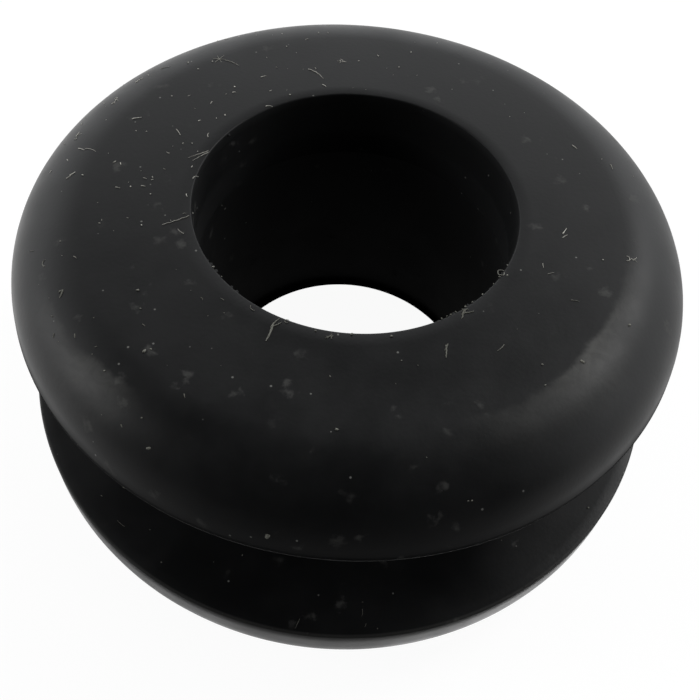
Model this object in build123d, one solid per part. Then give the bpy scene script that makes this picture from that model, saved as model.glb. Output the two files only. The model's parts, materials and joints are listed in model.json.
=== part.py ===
from build123d import *
import os

# Rubber mounting bushing: a soft ring that snaps into a round hole in a panel.
# Two flanges hold the panel between them, and a straight bore passes a bolt, tube or cable.
# It is moulded in one piece, so it is one solid, turned from one half section.
# Millimetres. The origin is on the axis, at the flat underside that the bushing stands on. +Z is up.

# --- driving dimensions ---
bore_diameter = 12.0            # straight hole through both flanges
neck_diameter = 17.0            # bottom of the groove, where the panel's hole sits
upper_flange_diameter = 25.2
lower_flange_diameter = 26.2    # a little wider than the upper flange
groove_width = 5.4              # gap between the flanges, for the panel
shoulder_radius = 2.7           # round between each flange's flat outer face and its rim
upper_rim_height = 0.4          # from the upper shoulder down to the groove
lower_rim_height = 1.0          # from the lower shoulder up to the groove

# --- worked out from them ---
bore_radius = bore_diameter / 2
neck_radius = neck_diameter / 2
upper_radius = upper_flange_diameter / 2
lower_radius = lower_flange_diameter / 2
groove_bottom = shoulder_radius + lower_rim_height      # upper face of the lower flange
groove_top = groove_bottom + groove_width               # underside of the upper flange
height = groove_top + upper_rim_height + shoulder_radius

def half_section():
    """Right half of the bushing's section, on the XZ plane: round shoulders, and crisp edges at the groove."""
    with BuildSketch(Plane.XZ) as section:
        with BuildLine():
            Polyline(
                (bore_radius, 0),
                (lower_radius, 0),
                (lower_radius, groove_bottom),
                (neck_radius, groove_bottom),
                (neck_radius, groove_top),
                (upper_radius, groove_top),
                (upper_radius, height),
                (bore_radius, height),
                close=True,
            )
        make_face()
        for across, up in [(lower_radius, 0), (upper_radius, height)]:
            corner = section.vertices().sort_by_distance((across, up, 0))[0]
            fillet(corner, shoulder_radius)
    return section.sketch

def bushing():
    """The whole bushing: the half section turned once round the Z axis."""
    return revolve(half_section(), Axis.Z)

os.makedirs("parts", exist_ok=True)
export_step(bushing(), "parts/bushing.step")
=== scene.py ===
import json
import math
import random

import bmesh
import bpy
from mathutils import Matrix, Vector, noise


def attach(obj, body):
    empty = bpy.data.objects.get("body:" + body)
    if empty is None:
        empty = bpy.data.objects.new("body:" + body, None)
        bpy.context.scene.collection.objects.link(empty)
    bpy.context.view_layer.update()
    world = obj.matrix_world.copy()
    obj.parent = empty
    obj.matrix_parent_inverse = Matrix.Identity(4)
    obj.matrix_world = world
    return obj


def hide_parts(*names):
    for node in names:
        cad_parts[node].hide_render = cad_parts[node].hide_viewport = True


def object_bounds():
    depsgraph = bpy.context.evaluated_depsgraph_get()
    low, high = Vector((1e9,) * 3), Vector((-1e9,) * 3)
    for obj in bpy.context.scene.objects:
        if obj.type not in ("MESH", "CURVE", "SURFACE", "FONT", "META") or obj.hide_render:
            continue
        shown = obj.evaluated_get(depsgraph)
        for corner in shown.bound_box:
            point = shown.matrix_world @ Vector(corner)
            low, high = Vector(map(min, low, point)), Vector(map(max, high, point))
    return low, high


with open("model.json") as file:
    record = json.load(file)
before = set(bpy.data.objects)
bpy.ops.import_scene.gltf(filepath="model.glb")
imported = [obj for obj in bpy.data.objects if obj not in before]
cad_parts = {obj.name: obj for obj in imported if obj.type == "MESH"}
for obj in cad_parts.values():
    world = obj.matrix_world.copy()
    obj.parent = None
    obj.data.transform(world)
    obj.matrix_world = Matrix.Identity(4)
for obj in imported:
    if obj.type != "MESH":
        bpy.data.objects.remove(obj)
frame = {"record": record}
cad_low, cad_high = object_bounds()

# ---------------------------------------------------------------------------
# The rubber ring is the whole bushing: two flanges, the neck between them and
# the bore. It is moulded in black rubber in one shot. Its shoulders come out
# round, and its edges at the groove and the bore, where the tool parts, crisp.
# ---------------------------------------------------------------------------
mm = 0.001
bore = next(mount for mount in frame["record"]["mounts"] if mount["kind"] == "bore")
bore_radius = bore["dims"]["r_mm"] * mm
height = cad_high[2]
lower_radius = cad_high[0]
upper_radius = 12.66 * mm
neck_radius = 8.5 * mm
groove_bottom = 3.7 * mm
groove_top = 9.1 * mm
under_flange = groove_top - 0.1 * mm    # just below the upper flange
shoulder_width = 2.8 * mm               # the upper shoulder is a little wider than it is deep
shoulder_depth = 2.4 * mm
lower_shoulder_radius = 2.7 * mm
lip_radius = 0.7 * mm                   # the upper flange's edge rolls under towards the groove
root_radius = 0.6 * mm
crisp_radius = 0.07 * mm
steps_round = 300
longest_run = 0.45 * mm
same_place = 0.001 * mm
shrink = 0.006 * mm                     # the skin lies this far inside the mould's full size
shrink_wave = 0.012 * mm                # and up to this much further where the rubber shrank more
top_shrink = 0.014 * mm                 # the upper flange's face shrank this much on top of that
wide_sinks, small_sinks = 170.0, 520.0  # how close together the shrunk places lie, per metre


def turn_section(mesh, corners):
    """Turns a closed section of (radius, height) corners once round the axis."""
    corner_verts = [mesh.verts.new((radius, 0.0, z)) for radius, z in corners]
    corner_edges = [mesh.edges.new(pair) for pair in zip(corner_verts, corner_verts[1:] + corner_verts[:1])]
    bmesh.ops.spin(
        mesh, geom=corner_verts + corner_edges, cent=(0, 0, 0), axis=(0, 0, 1),
        angle=math.tau, steps=steps_round, use_merge=True,
    )
    bmesh.ops.remove_doubles(mesh, verts=mesh.verts, dist=0.1 * same_place)
    bmesh.ops.recalc_face_normals(mesh, faces=mesh.faces)


def ring_edges(mesh, radius, z):
    """The edges of the ring of that radius and height."""
    def on_ring(vert):
        return abs(vert.co.xy.length - radius) < same_place and abs(vert.co.z - z) < same_place
    return [edge for edge in mesh.edges if on_ring(edge.verts[0]) and on_ring(edge.verts[1])]


def round_ring(mesh, radius, z, offset, segments):
    """Rounds the edge that runs round the axis at that radius and height."""
    bmesh.ops.bevel(
        mesh, geom=ring_edges(mesh, radius, z), offset=offset, offset_type="OFFSET", segments=segments,
        profile=0.5, affect="EDGES", clamp_overlap=False, material=-1,
    )


def run_length(edge):
    """How far an edge runs along the section. An edge round the axis gives nothing."""
    a, b = edge.verts
    return math.hypot(a.co.xy.length - b.co.xy.length, a.co.z - b.co.z)


def add_object(name, mesh, smooth=True):
    """Turns a bmesh into an object at the origin."""
    data = bpy.data.meshes.new(name)
    mesh.normal_update()
    mesh.to_mesh(data)
    mesh.free()
    for polygon in data.polygons:
        polygon.use_smooth = smooth
    thing = bpy.data.objects.new(name, data)
    bpy.context.collection.objects.link(thing)
    return thing


flat_radius = upper_radius - shoulder_width
drawn_radius = flat_radius + shoulder_depth
section_corners = [
    (bore_radius, 0.0), (lower_radius, 0.0), (lower_radius, groove_bottom), (neck_radius, groove_bottom),
    (neck_radius, groove_top), (drawn_radius, groove_top), (drawn_radius, height), (bore_radius, height),
]
ring = bmesh.new()
turn_section(ring, section_corners)
round_ring(ring, drawn_radius, height, shoulder_depth, segments=20)
round_ring(ring, drawn_radius, groove_top, lip_radius, segments=8)
round_ring(ring, lower_radius, 0.0, lower_shoulder_radius, segments=16)
for z in (groove_bottom, groove_top):
    round_ring(ring, neck_radius, z, root_radius, segments=4)
for radius, z in ((lower_radius, groove_bottom), (bore_radius, height)):
    round_ring(ring, radius, z, crisp_radius, segments=2)
for vert in ring.verts:
    past_flat = vert.co.xy.length - flat_radius
    if vert.co.z > under_flange and past_flat > 0.0:
        vert.co.xy = vert.co.xy.normalized() * (flat_radius + past_flat * shoulder_width / shoulder_depth)

long_runs = {}
for edge in ring.edges:
    cuts = round(run_length(edge) / longest_run) - 1
    if cuts > 0:
        long_runs.setdefault(cuts, []).append(edge)
for cuts, edges in long_runs.items():
    bmesh.ops.subdivide_edges(ring, edges=edges, cuts=cuts, use_grid_fill=True)

ring.normal_update()
inward = {}
for vert in ring.verts:
    wave = noise.noise(vert.co * wide_sinks) + 0.4 * noise.noise(vert.co * small_sinks)
    facing_up = max(0.0, vert.normal.z) if vert.co.z > groove_top else 0.0
    inward[vert] = -vert.normal * (shrink + shrink_wave * (0.5 + 0.35 * wave) + top_shrink * facing_up)
for vert, shift in inward.items():
    vert.co += shift
rubber_ring = add_object("rubber_ring", ring)
even_shading = rubber_ring.modifiers.new("even_shading", "WEIGHTED_NORMAL")
even_shading.mode = "FACE_AREA"
even_shading.weight = 90


def add_node(tree, kind, inputs=None, **settings):
    """Adds a shader node, sets its options, and sets or links its inputs by name or number."""
    node = tree.nodes.new(kind)
    for name, value in settings.items():
        setattr(node, name, value)
    for key, value in (inputs or {}).items():
        if isinstance(value, bpy.types.NodeSocket):
            tree.links.new(value, node.inputs[key])
        else:
            node.inputs[key].default_value = value
    return node


def combined(tree, operation, a, b=0.0):
    """Two values put together by a Math node, or one value changed by it."""
    return add_node(tree, "ShaderNodeMath", {0: a, 1: b}, operation=operation).outputs[0]


def step_of(tree, value, start, end, low=0.0, high=1.0):
    """A smooth step of a value, from low at start to high at end."""
    node = add_node(
        tree, "ShaderNodeMapRange",
        {"Value": value, "From Min": start, "From Max": end, "To Min": low, "To Max": high},
        interpolation_type="SMOOTHSTEP",
    )
    return node.outputs["Result"]


def mixed(tree, share, first, second):
    """Two colours mixed: a share of 0 gives the first and 1 the second."""
    return add_node(tree, "ShaderNodeMix", {"Factor": share, "A": first, "B": second}, data_type="RGBA").outputs[2]


def axes_of(tree, vector):
    """The X, Y and Z of a vector."""
    return add_node(tree, "ShaderNodeSeparateXYZ", {0: vector}).outputs


def axis_distance(tree, place):
    """How far a place lies from the bushing's axis."""
    level = add_node(tree, "ShaderNodeVectorMath", {0: place, 1: (1.0, 1.0, 0.0)}, operation="MULTIPLY")
    return add_node(tree, "ShaderNodeVectorMath", {0: level.outputs[0]}, operation="LENGTH").outputs["Value"]


def jostled(tree, place, noise_colour, reach, back=0.0):
    """A place shifted along each axis by a noise, up to reach one way, and then back by that much."""
    shift = add_node(
        tree, "ShaderNodeVectorMath", {0: noise_colour, 1: (reach,) * 3, 2: (-back,) * 3}, operation="MULTIPLY_ADD",
    )
    return add_node(tree, "ShaderNodeVectorMath", {0: place, 1: shift.outputs[0]}, operation="ADD").outputs[0]


def new_material(name):
    """A material with an empty node tree."""
    material = bpy.data.materials.new(name)
    material.use_nodes = True
    material.node_tree.nodes.clear()
    return material, material.node_tree


rubber_black = (0.004, 0.0042, 0.0045, 1.0)
bloom_grey = (0.0078, 0.008, 0.0083, 1.0)
# The next grey is the rubbed marks' pale grey. It also paints highlights on the shoulders and a reflection on the
# lower rim.
rub_and_painted_light_grey = (0.085, 0.084, 0.079, 1.0)
powder_white = (0.16, 0.16, 0.15, 1.0)
# How near each comes to the pale grey: rubbed marks, scuffs that are painted highlights, and a painted rim reflection.
mark_pale, painted_highlight_pale, rim_reflection_pale = 0.5, 0.6, 0.3        # how near each comes to the scuffs' grey
least_rough, most_rough = 0.37, 0.46
mark_rough, lip_rough, bore_rough = 0.12, 0.32, 0.2     # what each adds to that
mark_reach, painted_highlight_reach = 0.9 * mm, 0.8 * mm            # how far their outlines wander
# Where the lower flange's edge starts to be painted paler and is fully so, a painted reflection of the floor in its
# rim:
rim_reflection_start, rim_reflection_full = 12.95 * mm, 13.02 * mm          # distances from the axis
lip_start, lip_full = 10.5 * mm, 9.8 * mm               # heights
grain_depth = 0.012 * mm

black_rubber, tree = new_material("black_rubber")
place = add_node(tree, "ShaderNodeTexCoord").outputs["Object"]
place_z = axes_of(tree, place)["Z"]
from_axis = axis_distance(tree, place)
patches = add_node(tree, "ShaderNodeTexNoise", {"Vector": place, "Scale": 300.0, "Detail": 5.0, "Roughness": 0.62})
smears = add_node(
    tree, "ShaderNodeTexNoise",
    {"Vector": place, "Scale": 1300.0, "Detail": 4.0, "Roughness": 0.6, "Distortion": 1.2},
)
grain = add_node(tree, "ShaderNodeTexNoise", {"Vector": place, "Scale": 7000.0, "Detail": 3.0})

# Rubbed marks: soft pale spots of uneven outline, a few tenths of a millimetre wide, in loose groups.
stir = add_node(tree, "ShaderNodeTexNoise", {"Vector": place, "Scale": 2300.0, "Detail": 3.0, "Roughness": 0.6})
mark_place = jostled(tree, place, stir.outputs["Color"], mark_reach)
rubbed = add_node(tree, "ShaderNodeTexVoronoi", {"Vector": mark_place, "Scale": 850.0})
rubbed_in = step_of(tree, rubbed.outputs["Distance"], 0.24, 0.04)
rubbed_where = step_of(tree, patches.outputs[0], 0.46, 0.58)
marks = combined(tree, "MULTIPLY", rubbed_in, rubbed_where)

# Painted highlights: grey places painted where the lamps shine on the upper flange, where its flat turns into its
# shoulder, sharp inside and soft outside. Each has its azimuth and half its width in degrees, its inner and outer
# distance from the axis in mm, and a strength.
painted_highlight_place = jostled(tree, place, patches.outputs["Color"], 2.0 * painted_highlight_reach, painted_highlight_reach)
painted_highlight_axes = axes_of(tree, painted_highlight_place)
painted_highlight_turn = combined(tree, "ARCTAN2", painted_highlight_axes["X"], painted_highlight_axes["Y"])
painted_highlight_run = axis_distance(tree, painted_highlight_place)
painted_highlights = 0.0
for azimuth, spread, inner, outer, strength in (
    (-138.0, 11.0, 10.95, 12.5, 1.1), (-126.0, 16.0, 11.2, 12.7, 0.5), (-55.0, 26.0, 11.3, 12.8, 0.4),
    (129.0, 14.0, 9.85, 11.7, 1.15), (113.0, 16.0, 9.95, 11.3, 0.75), (145.0, 16.0, 9.8, 11.6, 0.4),
    (125.0, 20.0, 9.9, 10.4, 0.5),
):
    off_centre = combined(tree, "ABSOLUTE", combined(tree, "SUBTRACT", painted_highlight_turn, math.radians(azimuth)))
    painted_highlight = step_of(tree, off_centre, math.radians(spread), 0.0, high=strength)
    sharp_inside = step_of(tree, painted_highlight_run, (inner - 0.15) * mm, (inner + 0.15) * mm)
    soft_outside = step_of(tree, painted_highlight_run, outer * mm, (inner + 0.1) * mm)
    painted_highlight = combined(tree, "MULTIPLY", combined(tree, "MULTIPLY", painted_highlight, sharp_inside), soft_outside)
    painted_highlights = combined(tree, "ADD", painted_highlights, painted_highlight)
painted_highlights = combined(tree, "MULTIPLY", painted_highlights, combined(tree, "GREATER_THAN", place_z, groove_top + lip_radius))
painted_highlights_streaked = combined(tree, "MULTIPLY", painted_highlights, step_of(tree, smears.outputs[0], 0.3, 0.7, 0.6, 1.0))

# Painted reflection: the lower flange's edge is painted a little paler, for the floor's reflection in its rim.
# The upper flange's lip is rubbed matt.
painted_rim_reflection = step_of(tree, from_axis, rim_reflection_start, rim_reflection_full)
lip = combined(
    tree, "MULTIPLY", step_of(tree, place_z, lip_start, lip_full),
    combined(tree, "GREATER_THAN", place_z, under_flange),
)
# Bloom: the thin grey film that comes to the surface of moulded rubber.
bloom = step_of(tree, patches.outputs[0], 0.35, 0.75)
# Powder: bright specks of talc, up to a tenth of a millimetre across.
powder = add_node(tree, "ShaderNodeTexVoronoi", {"Vector": place, "Scale": 1500.0})
powder_draw = add_node(tree, "ShaderNodeSeparateColor", {0: powder.outputs["Color"]}).outputs[0]
specks = combined(
    tree, "MULTIPLY", step_of(tree, powder.outputs["Distance"], 0.07, 0.04),
    combined(tree, "GREATER_THAN", powder_draw, 0.6),
)

# The paleness holds the rubbed marks, and also the painted highlights and the painted reflection on the lower rim.
pale = combined(
    tree, "ADD", combined(tree, "MULTIPLY", marks, mark_pale), combined(tree, "MULTIPLY", painted_highlights_streaked, painted_highlight_pale),
)
pale = combined(tree, "ADD", pale, combined(tree, "MULTIPLY", painted_rim_reflection, rim_reflection_pale))
bloomed = mixed(tree, bloom, rubber_black, bloom_grey)
worn_and_painted_light = mixed(tree, pale, bloomed, rub_and_painted_light_grey)
powdered_and_painted_light = mixed(tree, specks, worn_and_painted_light, powder_white)
roughness = step_of(tree, patches.outputs[0], 0.3, 0.7, least_rough, most_rough)
for more in (
    combined(tree, "MULTIPLY", marks, mark_rough),
    combined(tree, "MULTIPLY", lip, lip_rough),
    step_of(tree, from_axis, bore_radius + 0.06 * mm, bore_radius + 0.02 * mm, high=bore_rough),
):
    roughness = combined(tree, "ADD", roughness, more)
relief = combined(tree, "ADD", grain.outputs[0], combined(tree, "MULTIPLY", marks, 0.6))
bump = add_node(tree, "ShaderNodeBump", {"Height": relief, "Strength": 0.25, "Distance": grain_depth})
rubber_skin = add_node(
    tree, "ShaderNodeBsdfPrincipled",
    {"Base Color": powdered_and_painted_light, "Roughness": roughness, "Normal": bump.outputs[0], "Specular IOR Level": 0.25},
)
add_node(tree, "ShaderNodeOutputMaterial", {0: rubber_skin.outputs[0]})
rubber_ring.data.materials.append(black_rubber)
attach(rubber_ring, "root")
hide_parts("bushing")

# ---------------------------------------------------------------------------
# Moulding marks: rubber flash left where the tool closed. Small nibs stand round
# the bore's upper edge and the lower flange's edge, and a thin fin runs round
# the bore's lower edge. They are one with the ring.
# ---------------------------------------------------------------------------
fin_low, fin_high = 0.02 * mm, 0.05 * mm
fin_root = bore_radius + 0.05 * mm
fin_narrowest, fin_widest = 0.09 * mm, 0.3 * mm
widest_way = Vector((-1.0, 1.0)).normalized()       # the fin is widest at the back left
nib_segments = 7
rim_nibs = 60
flash = bmesh.new()
turn_section(flash, [(fin_root, fin_low), (bore_radius, fin_low), (bore_radius, fin_high), (fin_root, fin_high)])
for vert in flash.verts:
    if vert.co.xy.length < bore_radius + 0.01 * mm:
        outward = vert.co.xy.normalized()
        share = 0.5 + 0.5 * outward.dot(widest_way) + 0.06 * noise.noise(vert.co * 400.0)
        vert.co.xy = outward * (bore_radius - fin_narrowest - (fin_widest - fin_narrowest) * share)
flash_draw = random.Random(3)


def add_nib(azimuth, radius, z, length, width, lean):
    """A pointed nib that starts at that place and points in or out along the radius."""
    spot = Matrix.Rotation(-azimuth, 4, "Z") @ Matrix.Translation((0.0, radius, z)) @ Matrix.Rotation(lean, 4, "X")
    bmesh.ops.create_cone(
        flash, cap_ends=True, segments=nib_segments, radius1=width, radius2=0.3 * width, depth=length,
        matrix=spot @ Matrix.Diagonal((1.4, 0.7, 1.0, 1.0)),
    )


for azimuth in (
    119.0, 122.0, 127.0, 134.0, 137.0, 139.0, 141.0, 143.0, 145.0, 147.0, 148.5,
    -125.0, -127.0, -129.0, -131.0, -133.0, -135.5, -138.0, -141.0, -147.0, -61.0, 24.0,
):
    add_nib(
        math.radians(azimuth + flash_draw.uniform(-1.0, 1.0)), bore_radius + 0.02 * mm, height - 0.13 * mm,
        flash_draw.uniform(0.05, 0.2) * mm, flash_draw.uniform(0.06, 0.12) * mm,
        math.radians(flash_draw.uniform(65.0, 85.0)),
    )
for _ in range(rim_nibs):
    azimuth = flash_draw.uniform(-math.pi, math.pi)
    add_nib(
        azimuth, lower_radius - 0.07 * mm, groove_bottom - 0.02 * mm, flash_draw.uniform(0.06, 0.13) * mm,
        flash_draw.uniform(0.015, 0.04) * mm, math.radians(flash_draw.uniform(-25.0, 25.0)),
    )
moulding_marks = add_object("moulding_marks", flash)
moulding_marks.data.materials.append(black_rubber)
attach(moulding_marks, "root")

# ---------------------------------------------------------------------------
# Dust and lint lie on the upper flange, most of them behind the bore on the
# left. They are short pale fibres, a few longer curled ones, and small grains,
# held by the rubber's slight tack.
# ---------------------------------------------------------------------------
flat_width = flat_radius - bore_radius
fibre_radius = 0.016 * mm
fibre_pieces = 12
tuft_fibres = 6
loose_fibres, loose_crumbs, lower_crumbs = 44, 80, 30
below_top = 0.002 * mm              # nothing stands above the bushing's full height
darker_dust = (0.13, 0.13, 0.11, 1.0)
pale_lint = (0.75, 0.73, 0.66, 1.0)
draw = random.Random(7)


def on_skin(azimuth, run, lift):
    """A point near the upper flange's skin: run is the way out from the bore's edge, along the skin."""
    tilt = max(0.0, (run - flat_width) / shoulder_width)
    radius = bore_radius + min(run, flat_width) + shoulder_width * math.sin(tilt)
    z = height - shoulder_depth * (1.0 - math.cos(tilt))
    outward = Vector((math.sin(azimuth), math.cos(azimuth), 0.0))
    return outward * (radius + lift * math.sin(tilt)) + Vector((0.0, 0.0, z + lift * math.cos(tilt)))


def on_lower_flange(azimuth, run, lift):
    """A point near the lower flange's upper face, at run from the bore."""
    radius = bore_radius + run
    return Vector((math.sin(azimuth) * radius, math.cos(azimuth) * radius, groove_bottom + lift))


def on_bore(azimuth, run, lift):
    """A point near the bore's wall: run is how deep it lies below the upper edge."""
    radius = bore_radius - lift
    return Vector((math.sin(azimuth) * radius, math.cos(azimuth) * radius, height - run))


fibres = bpy.data.curves.new("fibres", "CURVE")
fibres.dimensions = "3D"
fibres.bevel_depth = fibre_radius
fibres.bevel_resolution = 1
fibres.use_fill_caps = True


def add_fibre(azimuth, run, length, heading, bend, thickness=1.0, wave=0.0, skin=on_skin):
    """A fibre that starts there and turns and waves as it goes. Heading 0 leads straight out from the bore."""
    spline = fibres.splines.new("POLY")
    spline.points.add(fibre_pieces)
    for index, point in enumerate(spline.points):
        point.co = (*skin(azimuth, run, -fibre_radius), 1.0)
        point.radius = thickness * (1.0 - 0.5 * index / fibre_pieces)
        run += length / fibre_pieces * math.cos(heading)
        azimuth += length / fibre_pieces * math.sin(heading) / (bore_radius + run)
        heading += bend / fibre_pieces + wave * math.sin(1.9 * index)


def add_tuft(azimuth, run, size, thickness):
    """A small flat tangle of fibres."""
    for _ in range(tuft_fibres):
        add_fibre(
            azimuth + draw.uniform(-0.3, 0.3) * size / bore_radius, run + draw.uniform(-0.3, 0.3) * size,
            size * draw.uniform(0.4, 1.1), draw.uniform(0.0, math.tau), draw.gauss(0.0, 2.0),
            thickness * draw.uniform(0.7, 1.3), wave=0.5,
        )


# Single fibres. Angles are in degrees, with azimuth 0 behind the bore and 90 to its right. Lengths are in mm.
for azimuth, run, length, heading, bend, thickness in (
    (-72, 0.1, 0.85, -59, 5, 0.9), (-72.6, 0.05, 0.75, -62, -8, 0.7), (-104.5, 0.1, 1.05, -30, 10, 0.9),
    (-112, 0.4, 0.3, 40, 30, 0.8), (-119, 4.8, 0.3, -70, 20, 2.0), (-19, 1.8, 0.9, 120, 40, 0.9),
    (-39, 3.6, 0.7, 135, 30, 0.7), (-70, 3.6, 0.37, 125, 10, 1.2), (-68, 1.8, 0.38, 200, 20, 1.0),
    (-82, 4.8, 0.3, 180, 20, 1.2), (-82, 4.5, 0.5, 170, 40, 0.6), (-90, 4.6, 0.24, 130, 0, 1.4),
    (-90.8, 4.7, 0.2, 130, 0, 1.1), (-93, 2.8, 0.18, 180, 0, 1.2), (-92, 1.9, 0.16, 180, 0, 1.0),
    (-89, 1.9, 0.14, 180, 20, 1.0), (-40, 0.2, 0.3, 90, 60, 1.3), (-34, 1.9, 0.25, 70, 20, 1.0),
    (-16, 0.7, 0.2, 120, 20, 1.0), (-52, 5.0, 0.4, 100, 40, 0.7), (-58, 5.2, 0.3, 80, 20, 0.8),
    (-66, 0.5, 0.25, 30, 60, 0.8), (-87, 0.1, 0.3, 60, 160, 0.8), (-112, 5.2, 0.4, 20, 160, 0.8),
    (96, 1.6, 0.33, -70, 0, 1.2), (97.5, 1.6, 0.25, -60, 20, 0.9), (112, 1.4, 0.25, -50, 0, 1.0),
    (117, 2.5, 0.3, -40, 20, 1.0), (109, 1.1, 0.2, 60, 0, 0.9), (64, 3.3, 0.25, 60, 10, 0.9),
    (72, 4.3, 0.3, 80, 20, 0.9), (139, 1.9, 0.35, 60, 30, 1.1), (118.5, 0.06, 0.7, 60, 330, 1.1),
    (-162, 0.15, 0.4, 60, 330, 0.8), (-158.5, 0.5, 0.6, -22, 20, 2.3), (-158.5, 0.55, 0.45, 165, 40, 1.9),
    (-158.5, 0.5, 0.35, 215, -20, 1.5), (-151, 0.25, 0.3, 60, 100, 0.8), (-176, 0.15, 0.3, 10, 60, 1.2),
    (152, 1.0, 0.5, 15, 10, 1.8), (151.4, 0.98, 0.3, 35, 10, 1.4),
):
    add_fibre(
        math.radians(azimuth), run * mm, length * mm, math.radians(heading), math.radians(bend), thickness,
        draw.uniform(0.2, 0.6),
    )
for azimuth, run, length, heading, bend in (
    (-176.7, 6.55, 0.42, 10, 0), (173, 6.1, 0.4, -15, 60), (172.5, 6.6, 0.2, 20, 0), (-142, 6.3, 0.4, 70, 20),
):
    add_fibre(
        math.radians(azimuth), run * mm, length * mm, math.radians(heading), math.radians(bend),
        thickness=0.6, wave=0.3, skin=on_lower_flange,
    )
add_fibre(math.radians(-99.0), 0.45 * mm, 0.5 * mm, heading=0.3, bend=0.5, thickness=1.0, wave=0.6, skin=on_bore)
# A small star of fibres behind the bore, and then tufts.
for turn in (10.0, 70.0, 130.0, 190.0, 250.0, 310.0):
    add_fibre(math.radians(-40.0), 3.8 * mm, draw.uniform(0.2, 0.33) * mm, math.radians(turn), 0.0, thickness=0.7)
for azimuth, run, size, thickness in (
    (141, 0.12, 0.38, 1.5), (100, 4.1, 0.25, 0.7), (-176, 0.25, 0.2, 1.2), (-66, 5.0, 0.3, 0.6),
    (-78, 5.3, 0.3, 0.6), (-8, 2.2, 0.2, 0.7),
):
    add_tuft(math.radians(azimuth), run * mm, size * mm, thickness)
# The rest is loose and lies at random.
for _ in range(loose_fibres):
    add_fibre(
        math.radians(draw.gauss(-70.0, 50.0)), draw.uniform(0.2, 6.0) * mm, draw.uniform(0.06, 0.17) * mm,
        draw.uniform(0.0, math.tau), draw.gauss(0.0, 0.7), draw.uniform(0.7, 1.3),
    )
fibre_curves = bpy.data.objects.new("fibre_curves", fibres)
dust = bmesh.new()
dust.from_mesh(bpy.data.meshes.new_from_object(fibre_curves))
bpy.data.objects.remove(fibre_curves)


def add_crumb(at, turn, size, stretch):
    """A small uneven grain that lies flat there."""
    made = bmesh.ops.create_icosphere(dust, subdivisions=1, radius=size)
    for vert in made["verts"]:
        vert.co *= draw.uniform(0.65, 1.15)
    shape = Matrix.Translation(at) @ Matrix.Rotation(turn, 4, "Z") @ Matrix.Diagonal((stretch, 1.0, 0.5, 1.0))
    bmesh.ops.transform(dust, matrix=shape, verts=made["verts"])


for _ in range(loose_crumbs):
    azimuth = math.radians(draw.gauss(-75.0, 65.0))
    size = draw.choice((0.012, 0.014, 0.018, 0.022, 0.03)) * mm
    at = on_skin(azimuth, draw.uniform(0.2, 6.2) * mm, -0.3 * size)
    add_crumb(at, draw.uniform(0.0, math.tau), size, draw.uniform(1.0, 1.9))
# Single crumbs, then those caught on the bore's upper edge.
for azimuth, run, size, stretch, turn in (
    (-172, 7.35, 0.09, 1.7, 80), (180, 3.6, 0.05, 1.2, 0), (-119, 4.9, 0.035, 2.2, 60),
    (-126, 2.6, 0.045, 1.5, 0), (129.5, 4.0, 0.055, 2.4, -40), (-90, 4.1, 0.035, 1.3, 0),
    (166, 0.2, 0.05, 1.1, 0), (-54, 0.8, 0.035, 1.1, 0), (-43, 1.9, 0.03, 1.2, 0), (-29, 0.4, 0.035, 1.2, 0),
    (-42, 3.8, 0.035, 1.1, 0), (116, 4.6, 0.05, 1.3, 30), (119, 0.2, 0.035, 1.4, 70), (178, 0.08, 0.05, 1.5, 60),
    (136, 3.2, 0.035, 1.4, 0), (139, 3.8, 0.03, 1.5, 40), (102, 3.1, 0.03, 1.3, 0), (-138, 5.0, 0.03, 1.5, 0),
    (-171, 0.15, 0.03, 1.3, 0), (-152, 6.0, 0.06, 1.6, 20), (-140, 3.7, 0.055, 1.6, 60),
    (-140.5, 3.5, 0.035, 1.3, 0),
):
    add_crumb(on_skin(math.radians(azimuth), run * mm, -0.2 * size * mm), math.radians(turn), size * mm, stretch)
for azimuth in (115.0, 121.0, 125.0, 131.0, 136.0, 139.0, 143.0, 145.0, 146.5, 148.5, -129.0, -134.0):
    size = draw.uniform(0.018, 0.04) * mm
    at = on_skin(math.radians(azimuth), 0.01 * mm, -0.3 * size)
    add_crumb(at, draw.uniform(0.0, math.tau), size, draw.uniform(1.0, 2.0))
for _ in range(lower_crumbs):
    azimuth = draw.uniform(-math.pi, math.pi)
    run = draw.uniform(10.5, 12.9) * mm - bore_radius
    size = draw.uniform(0.012, 0.03) * mm
    add_crumb(on_lower_flange(azimuth, run, 0.0), draw.uniform(0.0, math.tau), size, draw.uniform(1.0, 4.0))
add_crumb(on_lower_flange(math.radians(126.0), 6.5 * mm, 0.0), turn=0.0, size=0.05 * mm, stretch=1.2)
for vert in dust.verts:
    vert.co.z = min(vert.co.z, height - below_top)
lint = add_object("dust_and_lint", dust)

pale_dust, tree = new_material("pale_dust")
place = add_node(tree, "ShaderNodeTexCoord").outputs["Object"]
dust_tint = add_node(tree, "ShaderNodeTexNoise", {"Vector": place, "Scale": 900.0})
# The lint behind the bore is the palest, and it gets darker towards the front.
towards_back = step_of(tree, axes_of(tree, place)["Y"], -6.0 * mm, 1.0 * mm, low=0.1)
dust_paleness = combined(tree, "MULTIPLY", step_of(tree, dust_tint.outputs[0], 0.3, 0.6, low=0.35), towards_back)
dust_colour = mixed(tree, dust_paleness, darker_dust, pale_lint)
dust_skin = add_node(
    tree, "ShaderNodeBsdfPrincipled", {"Base Color": dust_colour, "Roughness": 0.9, "Specular IOR Level": 0.2},
)
add_node(tree, "ShaderNodeOutputMaterial", {0: dust_skin.outputs[0]})
lint.data.materials.append(pale_dust)
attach(lint, "root")

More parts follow.
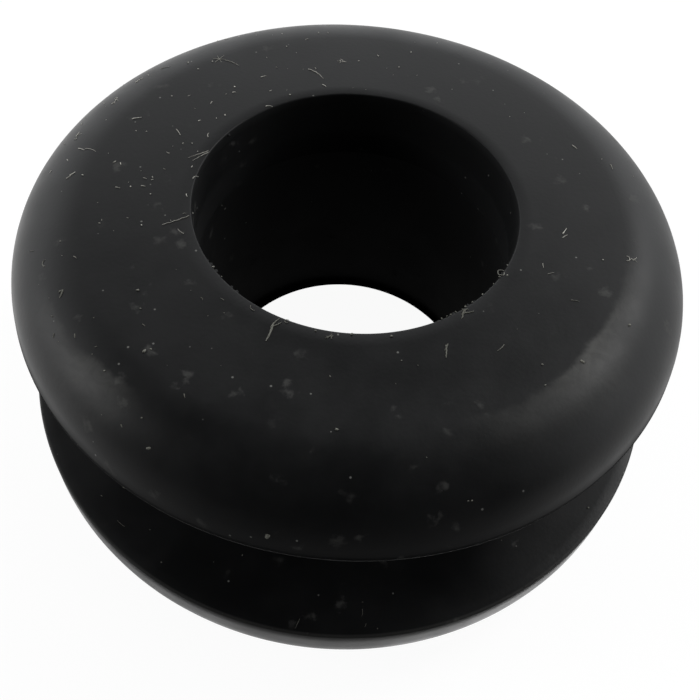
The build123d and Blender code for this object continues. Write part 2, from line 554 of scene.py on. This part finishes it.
# ---------------------------------------------------------------------------
# The floor is a plain pale sheet. It looks white from the camera and keeps a
# faint shadow. In the rubber's reflections it glows as a painted reflection:
# white behind and beside the bushing, brighter on the left, and brighter than
# white close under its rim, most on the right; with painted shade beneath the
# bushing and in front, where the camera stands in its light.
# ---------------------------------------------------------------------------
floor_radius = 1.5
white_shown = 0.945                         # what the camera sees
paper_grey, paper_bounce = 0.11, 0.5        # the sheet's own grey, and what it adds in soft light
front_shine, left_shine = 0.07, 1.25        # brightness in the rubber, where 1 is white
beneath_shine = 0.09
rim_shine_left, rim_shine_right = 1.12, 1.95
beneath_end, rim_shine_start = 9.0 * mm, 10.0 * mm
rim_shine_full, rim_shine_end = 14.2 * mm, 14.5 * mm

sheet = bmesh.new()
bmesh.ops.create_circle(sheet, cap_ends=True, segments=96, radius=floor_radius)
floor = add_object("floor", sheet, smooth=False)
pale_floor, tree = new_material("pale_floor")
place = add_node(tree, "ShaderNodeTexCoord").outputs["Object"]
across = axes_of(tree, place)
from_axis = axis_distance(tree, place)
# Painted reflection and painted shade: how brightly the floor glows in the rubber, by where it lies.
round_front = combined(tree, "DIVIDE", across["Y"], from_axis)
beside = combined(
    tree, "MULTIPLY", step_of(tree, round_front, -0.96, -0.1, low=front_shine),
    step_of(tree, across["X"], -20.0 * mm, 20.0 * mm, low=left_shine),
)
outside = step_of(tree, from_axis, beneath_end, rim_shine_start, low=beneath_shine)
under_rim = combined(
    tree, "MULTIPLY", step_of(tree, from_axis, rim_shine_full, rim_shine_end, low=1.0, high=0.0),
    combined(tree, "GREATER_THAN", from_axis, rim_shine_start),
)
rim_shine = step_of(tree, across["X"], 0.0, 5.0 * mm, rim_shine_left, rim_shine_right)
under_rim = combined(tree, "MULTIPLY", under_rim, rim_shine)
path = add_node(tree, "ShaderNodeLightPath").outputs
shown = combined(tree, "MULTIPLY", path["Is Camera Ray"], white_shown)
shine = combined(tree, "MAXIMUM", combined(tree, "MULTIPLY", beside, outside), under_rim)
mirrored = combined(tree, "MULTIPLY", path["Is Glossy Ray"], shine)
paper_tint = combined(tree, "ADD", paper_grey, combined(tree, "MULTIPLY", path["Is Diffuse Ray"], paper_bounce))
paper = add_node(tree, "ShaderNodeBsdfDiffuse", {"Color": paper_tint})
glow = add_node(tree, "ShaderNodeEmission", {"Strength": combined(tree, "ADD", shown, mirrored)})
paper_and_glow = add_node(tree, "ShaderNodeAddShader", {0: paper.outputs[0], 1: glow.outputs[0]})
add_node(tree, "ShaderNodeOutputMaterial", {0: paper_and_glow.outputs[0]})
floor.data.materials.append(pale_floor)

# ---------------------------------------------------------------------------
# The studio: a bright wall round the back half, dark overhead and in front,
# with one soft lamp high on the right and one lower on the left.
# ---------------------------------------------------------------------------
wall_light, dark_light = 1.65, 0.04
wall_foot_share = 0.68                      # the wall is dimmer near the floor
studio_tint = (0.97, 0.985, 1.0, 1.0)
lamp_size, lamp_distance = 0.12, 0.4


def add_lamp(name, azimuth, elevation, radiance):
    """A square soft lamp aimed at the bushing. Azimuth 0 is behind it and 90 is to its right."""
    data = bpy.data.lights.new(name, "AREA")
    data.size = lamp_size
    data.energy = math.pi * lamp_size * lamp_size * radiance
    lamp = bpy.data.objects.new(name, data)
    bpy.context.collection.objects.link(lamp)
    a, e = math.radians(azimuth), math.radians(elevation)
    away = Vector((math.sin(a) * math.cos(e), math.cos(a) * math.cos(e), math.sin(e)))
    lamp.matrix_world = Matrix.Translation(away * lamp_distance) @ away.to_track_quat("Z", "Y").to_matrix().to_4x4()
    lamp.visible_camera = False


add_lamp("lamp_right", azimuth=56.0, elevation=45.0, radiance=8.0)
add_lamp("lamp_left", azimuth=-94.0, elevation=26.0, radiance=4.0)

studio = bpy.data.worlds.new("studio")
bpy.context.scene.world = studio
studio.use_nodes = True
tree = studio.node_tree
tree.nodes.clear()
direction = axes_of(tree, add_node(tree, "ShaderNodeTexCoord").outputs["Generated"])
level_squared = combined(tree, "SUBTRACT", 1.0, combined(tree, "MULTIPLY", direction["Z"], direction["Z"]))
level_part = combined(tree, "SQRT", level_squared)
round_back = combined(tree, "DIVIDE", direction["Y"], combined(tree, "MAXIMUM", level_part, 0.001))
wall = combined(
    tree, "MULTIPLY", step_of(tree, round_back, -0.57, -0.09),
    step_of(tree, direction["Z"], 0.49, 0.85, low=1.0, high=0.0),
)
wall = combined(tree, "MULTIPLY", wall, step_of(tree, direction["Z"], 0.0, 0.4, low=wall_foot_share))
wall = combined(tree, "ADD", combined(tree, "MULTIPLY", wall, wall_light), dark_light)
path = add_node(tree, "ShaderNodeLightPath").outputs
dim = add_node(tree, "ShaderNodeBackground", {"Color": studio_tint, "Strength": wall})
white = add_node(tree, "ShaderNodeBackground", {"Color": (1.0, 1.0, 1.0, 1.0)})
world_mix = add_node(tree, "ShaderNodeMixShader", {0: path["Is Camera Ray"], 1: dim.outputs[0], 2: white.outputs[0]})
add_node(tree, "ShaderNodeOutputWorld", {0: world_mix.outputs[0]})
bpy.context.scene.view_settings.view_transform = "Standard"

# ---------------------------------------------------------------------------
# The camera looks down on the bushing from close in front, and is tipped a
# little to one side.
# ---------------------------------------------------------------------------
camera_place = Vector((0.0, -22.423 * mm, 35.038 * mm))
camera_pitch, camera_heading, camera_roll = 51.31, 1.15, 5.94
camera_data = bpy.data.cameras.new("camera")
camera_data.lens = 44.51
camera_data.shift_x = -0.0145
camera_data.shift_y = -0.0891
camera_data.clip_start = 2.0 * mm
camera = bpy.data.objects.new("camera", camera_data)
bpy.context.collection.objects.link(camera)
camera.matrix_world = (
    Matrix.Translation(camera_place)
    @ Matrix.Rotation(math.radians(-camera_heading), 4, "Z")
    @ Matrix.Rotation(math.radians(90.0 - camera_pitch), 4, "X")
    @ Matrix.Rotation(math.radians(camera_roll), 4, "Z")
)
bpy.context.scene.camera = camera
